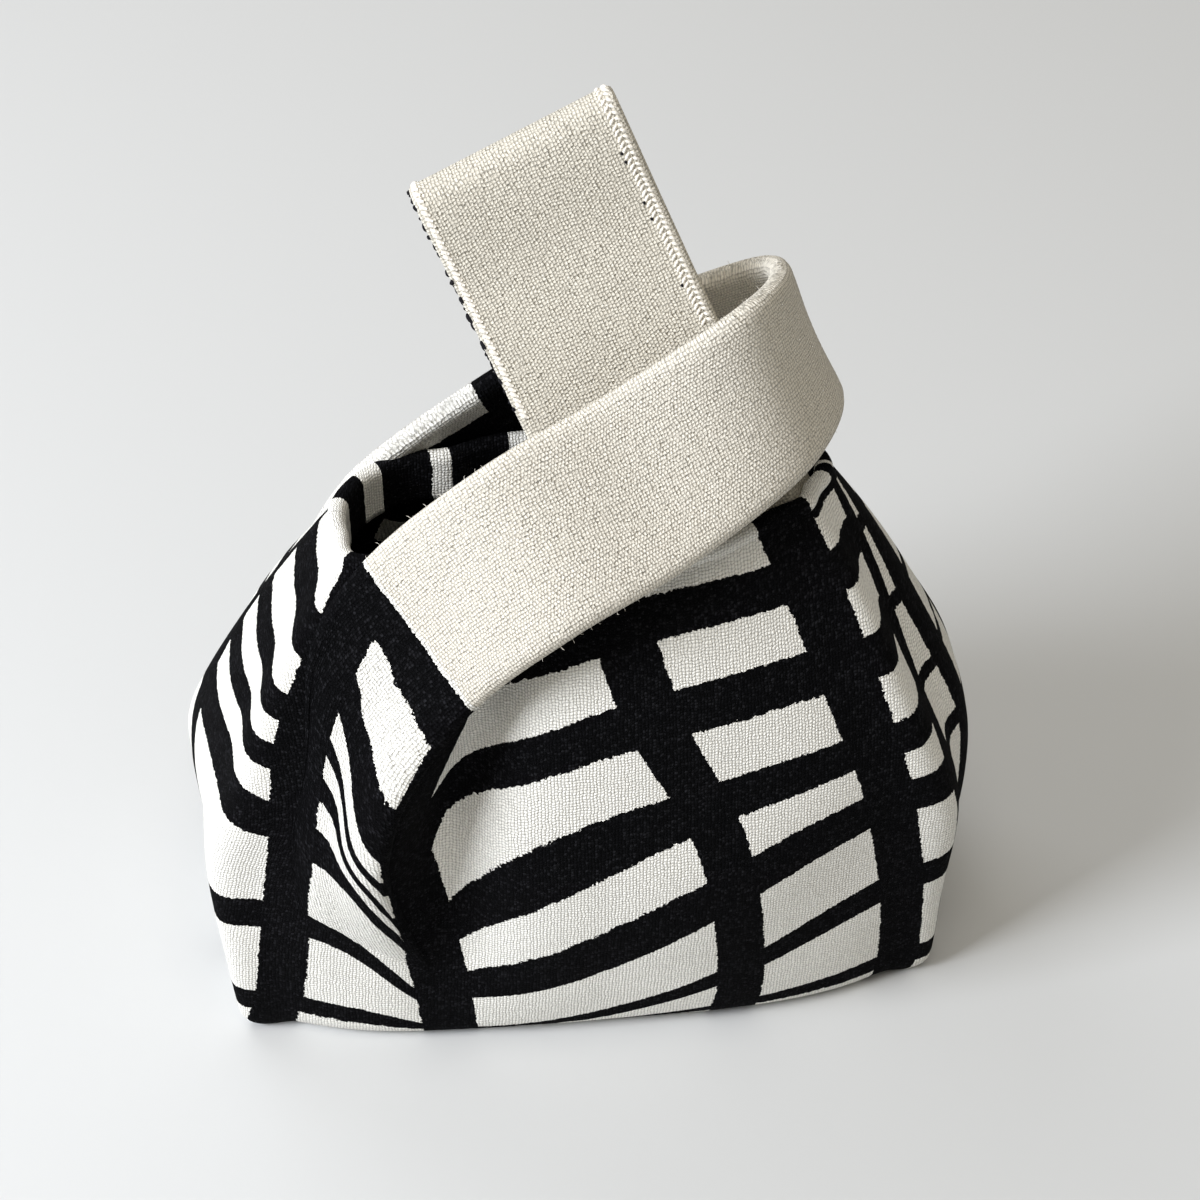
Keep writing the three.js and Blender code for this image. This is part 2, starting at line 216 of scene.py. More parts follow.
def knit_material(name, light, dark, chart, cream=None):
    """Jacquard knit of two yarns: rows of small raised stitches, fuzzy, with no gloss; shade is painted
    into the gaps between the stitches, light onto their tops, and highlights onto the dark yarn.

    Past the pattern's last course the light yarn can change to cream.
    """
    material = bpy.data.materials.new(name)
    material.use_nodes = True
    tree = material.node_tree
    tree.nodes.clear()

    def calc(operation, a, b=0.0, c=0.0):
        return add(tree, "ShaderNodeMath", (0, a), (1, b), (2, c), operation=operation).outputs[0]

    def moved(vector, by):
        return add(tree, "ShaderNodeVectorMath", (0, vector), (1, by), operation="ADD").outputs[0]

    def drift(scale, detail, amount):
        noise = add(tree, "ShaderNodeTexNoise", ("Vector", place), ("Scale", scale), ("Detail", detail))
        even = moved(noise.outputs["Color"], (-0.5, -0.5, -0.5))
        wander = add(tree, "ShaderNodeVectorMath", (0, even), ("Scale", amount), operation="SCALE")
        return wander.outputs[0]

    place = add(tree, "ShaderNodeTexCoord").outputs["Object"]
    sway = drift(SWAY, 3.0, 1.1)
    even_yarns = add(tree, "ShaderNodeUVMap", uv_map="yarns").outputs[0]
    yarns = moved(moved(even_yarns, sway), drift(UNEVEN, 1.0, 0.7))
    axes = add(tree, "ShaderNodeSeparateXYZ", (0, yarns))
    column = calc("FLOOR", axes.outputs[0])
    start = add(tree, "ShaderNodeTexWhiteNoise", ("W", column), noise_dimensions="1D").outputs[0]
    course = calc("MULTIPLY_ADD", start, 0.6, axes.outputs[1])
    stitch = add(tree, "ShaderNodeCombineXYZ", (0, column), (1, calc("FLOOR", course)))
    chance = add(tree, "ShaderNodeTexWhiteNoise", ("Vector", stitch.outputs[0]),
                 noise_dimensions="2D").outputs[0]
    across = calc("SINE", calc("MULTIPLY", calc("FRACT", axes.outputs[0]), math.pi))
    along = calc("SINE", calc("MULTIPLY", calc("FRACT", course), math.pi))
    dome = calc("POWER", calc("MULTIPLY", across, along), 0.5)
    # Painted shade: the gaps between the stitches are painted darker
    painted_gap_shade = calc("MULTIPLY", calc("SUBTRACT", 1.0, across), calc("SUBTRACT", 1.0, along))
    counted = add(tree, "ShaderNodeUVMap", uv_map="stitches").outputs[0]
    frayed = moved(moved(counted, sway), drift(FRAY, 2.0, 1.3))
    cell = add(tree, "ShaderNodeVectorMath", (0, frayed), operation="FLOOR")
    fibre = add(tree, "ShaderNodeTexNoise", ("Vector", place), ("Scale", FIBRE), ("Detail", 3.0)).outputs[0]
    patch = add(tree, "ShaderNodeTexNoise", ("Vector", place), ("Scale", PATCH), ("Detail", 3.0)).outputs[0]

    black = chart(calc, tree, cell.outputs[0])
    shade = calc("MULTIPLY_ADD", chance, 0.14, calc("MULTIPLY_ADD", patch, 0.10, 0.64))
    # Random tone per stitch and per patch, plus painted light on the stitch tops and painted shade in the
    # gaps
    tone_and_painted_relief = calc("MULTIPLY_ADD", painted_gap_shade, -0.35, calc("MULTIPLY_ADD", dome, 0.26, shade))
    plain = hex_colour(light)
    if cream:
        row = add(tree, "ShaderNodeSeparateXYZ", (0, cell.outputs[0])).outputs[1]
        past = calc("GREATER_THAN", row, CREAM_FROM)
        plain = add(tree, "ShaderNodeMix", ("Factor", past), (6, hex_colour(light)), (7, hex_colour(cream)),
                    data_type="RGBA").outputs[2]
    pale = add(tree, "ShaderNodeMix", ("Factor", 1.0), (6, plain), (7, tone_and_painted_relief),
               data_type="RGBA", blend_type="MULTIPLY")
    # Painted highlights on the dark yarn: the tops of some stitches and the finest fibres are painted
    # lighter, toward #5a5a60, as a sheen
    painted_glint = calc("MULTIPLY", calc("MULTIPLY", dome, calc("POWER", chance, 4.0)), 0.14)
    fuzz = calc("MULTIPLY_ADD", calc("POWER", fibre, 7.0), 0.9, painted_glint)
    deep = add(tree, "ShaderNodeMix", ("Factor", fuzz), (6, hex_colour(dark)), (7, hex_colour("#5a5a60")),
               data_type="RGBA")
    yarn = add(tree, "ShaderNodeMix", ("Factor", black), (6, pale.outputs[2]), (7, deep.outputs[2]),
               data_type="RGBA")
    height = calc("MULTIPLY_ADD", chance, 0.6, 0.5)
    relief = calc("MULTIPLY_ADD", dome, height, calc("MULTIPLY", fibre, 0.5))
    bump = add(tree, "ShaderNodeBump", ("Strength", 0.9), ("Distance", 0.0005), ("Height", relief))
    cloth = add(tree, "ShaderNodeBsdfPrincipled", ("Base Color", yarn.outputs[2]),
                ("Normal", bump.outputs[0]), ("Roughness", 0.95), ("Specular IOR Level", 0.04))
    add(tree, "ShaderNodeOutputMaterial", (0, cloth.outputs[0]))
    return material


def yarn_material(name, colour, fleck):
    """Loose wool yarn: matt, with fine fibres lighter and darker than the rest."""
    material = bpy.data.materials.new(name)
    material.use_nodes = True
    tree = material.node_tree
    tree.nodes.clear()
    place = add(tree, "ShaderNodeTexCoord").outputs["Object"]
    fibre = add(tree, "ShaderNodeTexNoise", ("Vector", place), ("Scale", WOOL_FIBRE),
                ("Detail", 3.0)).outputs[0]
    tint = add(tree, "ShaderNodeMix", ("Factor", fibre), (6, hex_colour(colour)), (7, hex_colour(fleck)),
               data_type="RGBA")
    bump = add(tree, "ShaderNodeBump", ("Strength", 0.8), ("Distance", 0.0003), ("Height", fibre))
    wool = add(tree, "ShaderNodeBsdfPrincipled", ("Base Color", tint.outputs[2]),
               ("Normal", bump.outputs[0]), ("Roughness", 0.95), ("Specular IOR Level", 0.08))
    add(tree, "ShaderNodeOutputMaterial", (0, wool.outputs[0]))
    return material


def grid_chart(bars, rungs, columns):
    """The chart: upright bars and level rungs in black, windows left white, and no bars past the last rung.

    A column, given by its first and last wale, has all but its lowest and last rungs thinned
    by its own share.
    """
    def chart(calc, tree, cell):
        axes = add(tree, "ShaderNodeSeparateXYZ", (0, cell))
        wale, course = axes.outputs[0], axes.outputs[1]
        black = 0.0
        for middle, half in bars:
            black = calc("MAXIMUM", calc("COMPARE", wale, middle, half), black)
        weight = 1.0
        for first, last, thin in columns:
            inside = calc("COMPARE", wale, (first + last) / 2, (last - first) / 2)
            weight = calc("MULTIPLY_ADD", inside, thin - 1.0, weight)
        for i, (middle, half) in enumerate(rungs):
            if THICK_RUNGS <= i < len(rungs) - 1:
                half = calc("MULTIPLY", weight, half)
            black = calc("MAXIMUM", calc("COMPARE", course, middle, half), black)
        return calc("MULTIPLY", black, calc("LESS_THAN", course, CREAM_FROM))
    return chart


def no_chart(calc, tree, cell):
    """Plain knit, all in the light yarn."""
    return 0.0


def even_stitches(points):
    """The yarn's stitches on a grid, all of one size: round each row from its middle, and up the rows."""
    along = np.linalg.norm(np.diff(points, axis=0), axis=2)
    run = np.concatenate([np.zeros((1, points.shape[1])), np.cumsum(along, axis=0)])
    rise = np.r_[0, np.cumsum(np.linalg.norm(np.diff(points, axis=1), axis=2).mean(0))]
    return np.stack(np.broadcast_arrays(run - run[len(points) // 2], rise[None]), -1) / YARN


def piece(name, points, faces, uvs, material, yarns=None, late_uvs=None, late_from=0):
    """A mesh piece from points in millimetres, each with its place on the chart and its count of yarns.

    Faces from a given one on can have chart places of their own, so that the pattern may change
    at a join.
    """
    mesh = bpy.data.meshes.new(name)
    mesh.from_pydata((np.asarray(points) * MM).tolist(), [], faces)
    layer = mesh.uv_layers.new(name="stitches")
    corner = np.zeros(len(mesh.loops), int)
    mesh.loops.foreach_get("vertex_index", corner)
    place = np.asarray(uvs, np.float32)[corner]
    if late_uvs is not None:
        late = mesh.polygons[late_from].loop_start
        place[late:] = np.asarray(late_uvs, np.float32)[corner[late:]]
    layer.data.foreach_set("uv", place.ravel())
    counted = np.asarray(uvs) * STITCH / YARN if yarns is None else np.asarray(yarns)
    layer = mesh.uv_layers.new(name="yarns")
    layer.data.foreach_set("uv", counted.astype(np.float32)[corner].ravel())
    mesh.polygons.foreach_set("use_smooth", [True] * len(mesh.polygons))
    mesh.materials.append(material)
    mesh.update()
    obj = bpy.data.objects.new(name, mesh)
    bpy.context.scene.collection.objects.link(obj)
    return obj


def thicken(obj, thick):
    """Gives a sheet its thickness, on the side its faces turn away from."""
    solid = obj.modifiers.new("thickness", "SOLIDIFY")
    solid.thickness = thick * MM
    solid.offset = -1
    bpy.context.view_layer.objects.active = obj
    bpy.ops.object.modifier_apply(modifier=solid.name)


def quads(rows, columns, closed=False):
    """Faces of a grid of points, row by row. A closed grid joins its last column to its first."""
    last = columns if closed else columns - 1
    return [(i * columns + j, (i + 1) * columns + j,
             (i + 1) * columns + (j + 1) % columns, i * columns + (j + 1) % columns)
            for i in range(rows - 1) for j in range(last)]


def ring_angles(count):
    """Angles, from the left side round, that space points evenly about the belly."""
    fine = np.linspace(180, 540, 4001)
    length = np.r_[0, np.cumsum(np.linalg.norm(np.diff(wall(fine, BELLY), axis=0), axis=1))]
    return np.interp(np.linspace(0, length[-1], count + 1), length, fine)


def wall_rows():
    """Heights and insets up the wall: the rounded foot, then the side."""
    bend = np.linspace(math.pi / 2, 0, 7)
    foot = FOOT_ROUND * (1 - np.sin(bend)) + GAP
    inset = FOOT_INSET * np.sin(bend) ** 2
    side = np.linspace(foot[-1], MOUTH, 84)[1:]
    return np.r_[foot, side], np.r_[inset, np.zeros(len(side))]


COLUMNS = 400
angles = ring_angles(COLUMNS)
levels, insets = wall_rows()
pouch = wall(angles[:, None], levels[None, :], insets[None, :])


def rung_heights(from_fold, share):
    """How high each rung lies, by the distance along the cloth from the fold that draws it down."""
    def drop(away, drops, reach, bow):
        fall = np.maximum(away, 0)[None] / np.array(reach)[:, None]
        return np.array(drops)[:, None] * np.exp(-(fall ** np.array(bow)[:, None]))

    side = np.clip(from_fold / FOLD_OVER + 0.5, 0, 1)[None]
    left = drop(-from_fold, DROPS_LEFT, REACH_LEFT, BOW_LEFT)
    right = drop(from_fold, DROPS_RIGHT, REACH_RIGHT, BOW_RIGHT)
    lift = 1 - np.exp(-((np.maximum(-from_fold - LIFT_FROM, 0) / LIFT_OVER) ** 2))
    level = np.array(RUNG_HEIGHTS)[:, None] + np.array(LIFTS_LEFT)[:, None] * lift[None]
    heights = level - share * (left * (1 - side) + right * side)
    apart = np.arange(len(heights))[:, None] * 0.02
    return np.maximum.accumulate(np.maximum(heights, 0.5) + apart)


def pouch_stitches():
    """Wale and course at each point of the pouch, from the places of the bars and rungs on it."""
    step = np.linalg.norm(np.diff(pouch, axis=0), axis=2)
    length = np.vstack([np.zeros(len(levels)), np.cumsum(step, axis=0)])
    belly = np.argmin(np.abs(levels - BELLY))

    def reached(angle, run):
        turns = math.floor((angle - angles[0]) / 360)
        return np.interp(angle - 360 * turns, angles, run) + turns * run[-1]

    places = np.array([[reached(float(through(HEIGHTS, bar, z)), length[:, j]) for bar in BARS]
                       for j, z in enumerate(levels)])
    wales = np.round(places[belly] / STITCH)
    widths = np.array(ALL_BAR_WALES) / 2
    edge_wales = np.column_stack([wales - widths, wales + widths]).ravel()
    found = np.zeros((*length.shape, 2))
    courses = [0, *RUNG_COURSES]
    for j, z in enumerate(levels):
        run = length[:, j]
        room = 0.499 * np.r_[np.inf, np.diff(places[j]), np.inf]
        reach = widths * STITCH * through(HEIGHTS, BAR_SPREAD, z)
        reach[SIDE_BARS] = widths[SIDE_BARS] * STITCH * through(HEIGHTS, SIDE_SPREAD, z)
        edges = np.column_stack([places[j] - np.minimum(reach, room[:-1]),
                                 places[j] + np.minimum(reach, room[1:])]).ravel()
        beyond = np.maximum(run - edges[-1], 0) - np.maximum(edges[0] - run, 0)
        found[:, j, 0] = np.interp(run, edges, edge_wales) + beyond / STITCH
        front = rung_heights(run - places[j, FRONT_FOLD], 1.0)
        behind = rung_heights(places[j, BACK_FOLD] - run, BACK_SHARE)
        heights = np.where(angles < 360, front, behind)
        for i in range(len(angles)):
            found[i, j, 1] = np.interp(pouch[i, j, 2], [0, *heights[:, i]], courses)
    return found, wales


stitches, bar_wales = pouch_stitches()


def stitch_at(angle, z):
    """Wale and course at any place on the pouch."""
    i = np.interp((np.asarray(angle) - 180) % 360 + 180, angles, np.arange(len(angles)))
    j = np.interp(z, levels, np.arange(len(levels)))
    i0 = np.minimum(i.astype(int), len(angles) - 2)
    j0 = np.minimum(j.astype(int), len(levels) - 2)
    a = (i - i0)[..., None]
    b = (j - j0)[..., None]
    low = stitches[i0, j0] * (1 - a) + stitches[i0 + 1, j0] * a
    high = stitches[i0, j0 + 1] * (1 - a) + stitches[i0 + 1, j0 + 1] * a
    return low * (1 - b) + high * b


pattern_knit = knit_material(
    "jacquard_knit_white_and_black", "#fcfaf3", "#050506",
    grid_chart([(w, n / 2) for w, n in zip(bar_wales, ALL_BAR_WALES)],
               [(c - 0.5, t / 2 - 0.4) for c, t in zip(RUNG_COURSES, RUNG_THICK)],
               [(bar_wales[i], bar_wales[i + 1], thin) for i, thin in THIN_COLUMNS]))
cream_knit = knit_material("jacquard_knit_cream", "#ded8ca", "#050506", no_chart)
back_column = bar_wales[-2] - bar_wales[-3]
# Painted shade: the band's white is the pattern's white yarn made a shade darker, as the band's root faces
# the lamp
band_knit = knit_material(
    "jacquard_knit_cream_and_black", "#f4f2eb", "#050506",
    grid_chart([(bar_wales[1], BAR_WALES[1] / 2), (bar_wales[2], BAR_WALES[2] / 2),
                (bar_wales[1] + BACK_WALES, BAR_WALES[1] / 2),
                (bar_wales[1] + back_column + BACK_WALES, BAR_WALES[2] / 2)],
               [(c - 0.5, t / 2 - 0.4) for c, t in zip(RUNG_COURSES, RUNG_THICK)],
               [(BACK_WALES, 2 * BACK_WALES, 0.0)]), "#e6e0d3")
black_wool = yarn_material("black_wool_yarn", "#0b0b0c", "#2c2c30")
white_wool = yarn_material("white_wool_yarn", "#e4dccf", "#fbf8f1")


def dressed(obj, body, slot, *nodes):
    """The piece rides a body and stands for the plain solids named."""
    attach(obj, body)
    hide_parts(*nodes)
    return obj


# Rolled rim of the mouth: radius of the roll, how far it sits in, how deep it turns in, its cloth,
# and the course its stitches are counted from
HEM_ROLL = 2.9
HEM_TUCK = 0.9
HEM_DEPTH = 16
HEM_CLOTH = 1.6
HEM_COURSE = 50


def panel(name, first, last):
    """One half of the pouch's wall, from side seam to side seam."""
    part = pouch[first:last + 1]
    uvs = stitches[first:last + 1]
    yarns = even_stitches(part).reshape(-1, 2)
    obj = piece(name, part.reshape(-1, 3), quads(*part.shape[:2]), uvs.reshape(-1, 2),
                pattern_knit, yarns)
    thicken(obj, WALL_CLOTH)
    return obj


def hem(name, first, last):
    """The rolled rim: up over the mouth's edge and down inside, with the pouch's bars carried round it."""
    turn = np.linspace(-0.25 * math.pi, math.pi, 12)
    out = np.r_[HEM_ROLL * np.cos(turn), -HEM_ROLL * np.ones(7)]
    up = np.r_[HEM_ROLL * np.sin(turn), -np.linspace(2, HEM_DEPTH - 2, 7)]
    run = np.r_[0, np.cumsum(np.hypot(np.diff(out), np.diff(up)))]
    ring = angles[first:last + 1]
    inset = HEM_ROLL - HEM_TUCK - out[None, :]
    grid = wall(ring[:, None], np.full(len(up), MOUTH - 2.0)[None, :], inset)
    grid[..., 2] += up
    uvs = np.repeat(stitch_at(ring, np.full(len(ring), MOUTH - 3.0))[:, None], len(up), 1)
    uvs[..., 1] = HEM_COURSE + run / STITCH
    yarns = even_stitches(grid).reshape(-1, 2)
    obj = piece(name, grid.reshape(-1, 3), quads(*grid.shape[:2]), uvs.reshape(-1, 2),
                pattern_knit, yarns)
    thicken(obj, HEM_CLOTH)
    return obj


half = int(np.argmin(np.abs(angles - 360)))
front = dressed(panel("front_panel_knit", 0, half), "bag", "pattern_knit", "front_panel")
behind = dressed(panel("back_panel_knit", half, COLUMNS), "bag", "pattern_knit", "back_panel")
front_rim = dressed(hem("front_hem_knit", 0, half), "bag", "pattern_knit", "front_hem")
back_rim = dressed(hem("back_hem_knit", half, COLUMNS), "bag", "pattern_knit", "back_hem")


def base_sheet():
    """The oval bottom, a shade smaller than the wall's foot and drawn up a little at its middle."""
    rings = np.linspace(1, 0.02, 24)
    edge = wall(angles[:-1], 0, FOOT_INSET + 0.2)
    grid = edge[None] * rings[:, None, None]
    grid[..., 2] = GAP + 1.0 * (1 - rings[:, None] ** 2)
    count = grid.shape[1]
    faces = quads(len(rings), count, closed=True)
    faces.append(tuple(range((len(rings) - 1) * count, len(rings) * count)))
    points = grid.reshape(-1, 3)
    obj = piece("base_panel_knit", points, faces, points[:, :2] / STITCH, cream_knit)
    thicken(obj, WALL_CLOTH)
    return obj


bottom = dressed(base_sheet(), "bag", "cream_knit", "base_panel")

# Directions of the strap, and the knot, the point between its legs where they leave the wide loop
KNOT = np.array([14.0, 2.0, MOUTH + 46.0])
STRAP_LEAN = (25, 28)
STRAP_SIDE = (23, 8)


def unit(*v):
    """The same direction, one long."""
    v = np.asarray(v, float)
    return v / np.linalg.norm(v)


strap_up = unit(-math.tan(math.radians(STRAP_LEAN[0])), math.tan(math.radians(STRAP_LEAN[1])), 1)
rise, turn = np.radians(STRAP_SIDE)
strap_across = unit(math.cos(rise) * math.cos(turn), math.cos(rise) * math.sin(turn),
                    math.sin(rise))
strap_face = unit(*np.cross(strap_across, strap_up))


def lofted(rows, count):
    """A smooth grid through rows of control points, evenly spaced along its middle."""
    rows = np.asarray(rows, float)
    middle = rows[:, rows.shape[1] // 2, :3]
    place = np.r_[0, np.cumsum(np.linalg.norm(np.diff(middle, axis=0), axis=1))]
    at = np.linspace(0, place[-1], count)
    return np.stack([np.stack([through(place, rows[:, j, k], at) for k in range(rows.shape[2])], -1)
                     for j in range(rows.shape[1])], 1)


def strip(name, grid, thick, lip, material, late_grid=None, late_row=0):
    """A band of knit, from a grid of its middle surface and stitches: thickened, with rolled lips."""
    middle = grid[..., :3]
    across = np.gradient(middle, axis=1)
    across /= np.linalg.norm(across, axis=2, keepdims=True)
    face = np.cross(np.gradient(middle, axis=0), across)
    face /= np.linalg.norm(face, axis=2, keepdims=True)
    side = np.r_[0, np.cumsum(np.linalg.norm(np.diff(middle[len(grid) // 2], axis=0), axis=1))]
    edge = np.minimum(side, side[-1] - side)
    half = thick / 2 + lip * np.exp(-((edge / (2.5 * thick)) ** 2))
    top = middle + face * half[None, :, None]
    under = middle - face * half[None, :, None]
    bends = np.radians([60, 30, 0, -30, -60])

    def round_edge(column, way):
        turned = [across[:, column] * math.cos(b) + face[:, column] * math.sin(b) for b in bends]
        return np.stack([middle[:, column] + way * half[column] * t for t in turned], 1)

    ring = np.concatenate([top, round_edge(-1, 1), under[:, ::-1], round_edge(0, -1)], 1)

    def all_round(uvs, pitch=STITCH):
        round_lip = (half[0] * np.cos(bends) / pitch)[None, :, None]
        way = np.sign(uvs[:, -1:, 0] - uvs[:, :1, 0])[..., None] * (1.0, 0.0)
        turned = [uvs, uvs[:, -1:] + round_lip * way, uvs[:, ::-1], uvs[:, :1] - round_lip * way]
        return np.concatenate(turned, 1).reshape(-1, 2)

    count = ring.shape[1]
    faces = [q[::-1] for q in quads(len(ring), count, closed=True)]
    faces.append(tuple(range(count)))
    faces.append(tuple(reversed(range((len(ring) - 1) * count, len(ring) * count))))
    late = None if late_grid is None else all_round(late_grid)
    yarns = all_round(even_stitches(middle.swapaxes(0, 1)).swapaxes(0, 1), YARN)
    uvs = all_round(grid[..., 3:])
    return piece(name, ring.reshape(-1, 3), faces, uvs, material, yarns, late, late_row * count)


# Wide loop: its way round the strap from the front root to the back, as places from the knot
# and directions across
LOOP_WIDTH = 48
LOOP_LIP = 1.0
LOOP_ROWS = 320
LOOP_WAY = [
    [-62.2, -44.5, -59.7, -0.52, 0.68, 0.52],
    [-30.3, -44.5, -31.9, -0.42, 0.58, 0.67],
    [4.7, -33.5, -17.9, -0.37, 0.51, 0.73],
    [40.3, -21.5, 0.8, -0.36, 0.21, 0.85],
    [56, 2, 1, -0.38, 0, 0.92],
    [56, 22, -4, -0.37, -0.1, 0.92],
    [36, 32, -14, -0.33, -0.2, 0.9],
    [1, 38, -30, -0.3, -0.25, 0.9],
    [-39, 40, -52, -0.35, -0.45, 0.8],
    [-63, 39, -66, -0.5, -0.6, 0.6],
]
# Where its roots lie on the wall, from the lower end up: angle and height of the right edge,
# then of the left, and how far the band's middle stands off the wall.
# Its left edge sinks into the wall, so the two read as one cloth.
ROOT_REST = [
    (256, 34, 235, 48, -4.2),
    (252, 53, 233.5, 68, -1.8),
    (248.5, 80, 231.5, 95, 0.2),
    (246.5, 100, 228, 118, 1.4),
    (245.5, 122, 217, 145, 2.2),
]
ROOT_SINK = 3.5
ROOT_WALES = 30
FRONT_WALE = bar_wales[1] - 2
BACK_WALE = bar_wales[1] - 11 + BACK_WALES
BACK_LEAD = 15
FAR_COURSES = 300.0
# The courses over which its stitches draw together where it grows out of the pouch
DRAWN_FROM = 157
DRAWN_OVER = 6
ACROSS = 33


def root_row(side, right_angle, right_z, left_angle, left_z, lift):
    """One row of the band where it lies on the wall, with the wall's own stitches."""
    share = np.linspace(0, 1, ACROSS)
    angle = right_angle + (left_angle - right_angle) * share
    z = right_z + (left_z - right_z) * share
    sink = np.clip((share - 0.65) / 0.35, 0, 1)
    flat = lift - max(lift, 0) * share
    stand = flat - (flat + ROOT_SINK) * sink * sink * (3 - 2 * sink)
    if side < 0:
        angle = 720 - angle
    uvs = stitch_at(angle, z)
    if side < 0:
        uvs[:, 0] = bar_wales[1] + bar_wales[-2] - uvs[:, 0]
    else:
        uvs[:, 0] = np.maximum(uvs[:, 0], bar_wales[1] - 3)
    return np.column_stack([wall(angle, z, -stand), uvs])


def loop_rows():
    """Control rows of the band: places, stitches counted from the front root, and from the back.

    At the front the cream begins where the band leaves the pouch, at the back a good way further up.
    """
    share = np.linspace(-0.5, 0.5, ACROSS)
    steps = np.diff(np.array(LOOP_WAY)[:, :3], axis=0)
    run = np.r_[0, np.cumsum(np.linalg.norm(steps, axis=1))] / STITCH
    beyond = np.full((ACROSS, 2), CREAM_FROM + FAR_COURSES)
    rows = []
    for rest in ROOT_REST:
        rows.append(np.column_stack([root_row(1, *rest), beyond]))
    for i, (x, y, z, *across) in enumerate(LOOP_WAY):
        points = KNOT + (x, y, z) + np.outer(share * LOOP_WIDTH, unit(*across))
        wale = (0.5 - share) * ROOT_WALES
        front = np.full(ACROSS, CREAM_FROM + run[i])
        behind = np.full(ACROSS, CREAM_FROM - BACK_LEAD + run[-2] - run[i])
        rows.append(np.column_stack([points, FRONT_WALE + wale, front, BACK_WALE + wale, behind]))
    for rest in reversed(ROOT_REST):
        row = root_row(-1, *rest)
        rows.append(np.column_stack([row[:, :3], beyond, row[:, 3] + BACK_WALES, row[:, 4]]))
    return rows


loop_grid = lofted(loop_rows(), LOOP_ROWS)
for wale, course, edge in ((3, 4, FRONT_WALE), (5, 6, BACK_WALE)):
    free = np.clip((loop_grid[..., course] - DRAWN_FROM) / DRAWN_OVER, 0, 1)
    loop_grid[..., wale] += (loop_grid[..., wale] - edge) * free * (LOOP_WIDTH / STITCH / ROOT_WALES - 1)
# Its two counts meet at the first row behind the strap that has turned back past 40 mm
loop_middle = loop_grid[:, ACROSS // 2]
loop_join = int(np.argmax((loop_middle[:, 1] > 20) & (loop_middle[:, 0] < 40)))
loop = strip("short_handle_knit", loop_grid[..., :5], HANDLE_CLOTH, LOOP_LIP, band_knit,
             loop_grid[..., 5:], loop_join)
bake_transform(loop)
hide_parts("short_handle_loop", "short_handle_front_root", "short_handle_back_root")

# Strap: the standing loop, with both stems that pass through the wide loop
STRAP_WIDTH = 61
STRAP_CLOTH = 3.4
STRAP_FRONT = 5.2
STRAP_BACK = 0.9
STRAP_ROLL = 6.0
STRAP_HEIGHT = 71
STEM_BELOW = 19
ROLL_FROM = 34


def strap_point(out, up):
    """A point of the strap's middle, out from its face and up from the knot."""
    return KNOT + strap_face * out + strap_up * up


def strap_path():
    """The strap's middle line: up the front stem, over the rolled top and close down the back."""
    top = STRAP_HEIGHT - STRAP_ROLL
    rise = np.linspace(-STEM_BELOW, top, 60)
    part = np.clip((rise - ROLL_FROM) / (top - ROLL_FROM), 0, 1)
    part = part * part * (3 - 2 * part)
    middle = (STRAP_FRONT + STRAP_BACK) / 2
    front = STRAP_FRONT + (middle + STRAP_ROLL - STRAP_FRONT) * part
    behind = STRAP_BACK + (middle - STRAP_ROLL - STRAP_BACK) * part
    bend = np.linspace(0, math.pi, 21)[1:-1]
    path = [strap_point(out, up) for out, up in zip(front, rise)]
    path += [strap_point(middle + STRAP_ROLL * math.cos(b), top + STRAP_ROLL * math.sin(b)) for b in bend]
    path += [strap_point(out, up) for out, up in zip(behind[::-1], rise[::-1])]
    return np.array(path)


strap_line = strap_path()
strap_run = np.r_[0, np.cumsum(np.linalg.norm(np.diff(strap_line, axis=0), axis=1))]


def strap_grid():
    """Points across the strap all along its middle line, with their stitches."""
    share = np.linspace(0.5, -0.5, ACROSS) * STRAP_WIDTH
    points = strap_line[:, None] + share[None, :, None] * strap_across
    uvs = np.stack(np.broadcast_arrays(share[None, :] / STITCH, strap_run[:, None] / STITCH), -1)
    return np.concatenate([points, uvs], 2)


def on_strap(obj):
    """Bakes the piece's placement into its points."""
    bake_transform(obj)
    return obj


strap = on_strap(strip("long_handle_knit", strap_grid(), STRAP_CLOTH, 0.0, cream_knit))
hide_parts("long_handle_loop", "long_handle_front_bend", "long_handle_back_bend",
            "long_handle_front_stem", "long_handle_back_stem")


# Yarn along the edges: the strap's face above its middle, and the loop's loose ends,
# by the rows they stand on, their count on each edge and their radius
SKIN = STRAP_CLOTH / 2
FUZZ_ROWS = (75, 250)
FUZZ_COUNT = 90
FUZZ_RADIUS = 0.06


def yarn_bits(name, ways, radius, material):
    """Short lengths of yarn, each a bent tube with tapered ends along its own few points."""
    sides = 6
    turns = np.arange(sides) * math.tau / sides
    points = []
    faces = []
    for way in ways:
        way = np.asarray(way, float)
        at = np.linspace(0, len(way) - 1, 6)
        fine = np.stack([through(np.arange(len(way)), way[:, k], at) for k in range(3)], 1)
        ahead = np.gradient(fine, axis=0)
        ahead /= np.linalg.norm(ahead, axis=1, keepdims=True)
        one = np.cross(ahead, (0.36, 0.48, 0.8))
        one /= np.linalg.norm(one, axis=1, keepdims=True)
        two = np.cross(ahead, one)
        thick = radius * np.array([0.45, 0.9, 1, 1, 0.9, 0.45])
        first = len(points)
        for p, a, b, r in zip(fine, one, two, thick):
            points += [p + r * (a * math.cos(t) + b * math.sin(t)) for t in turns]
        faces += [tuple(first + k for k in q) for q in quads(len(fine), sides, closed=True)]
        faces.append(tuple(first + k for k in reversed(range(sides))))
        faces.append(tuple(first + (len(fine) - 1) * sides + k for k in range(sides)))
    return piece(name, points, faces, np.zeros((len(points), 2)), material)


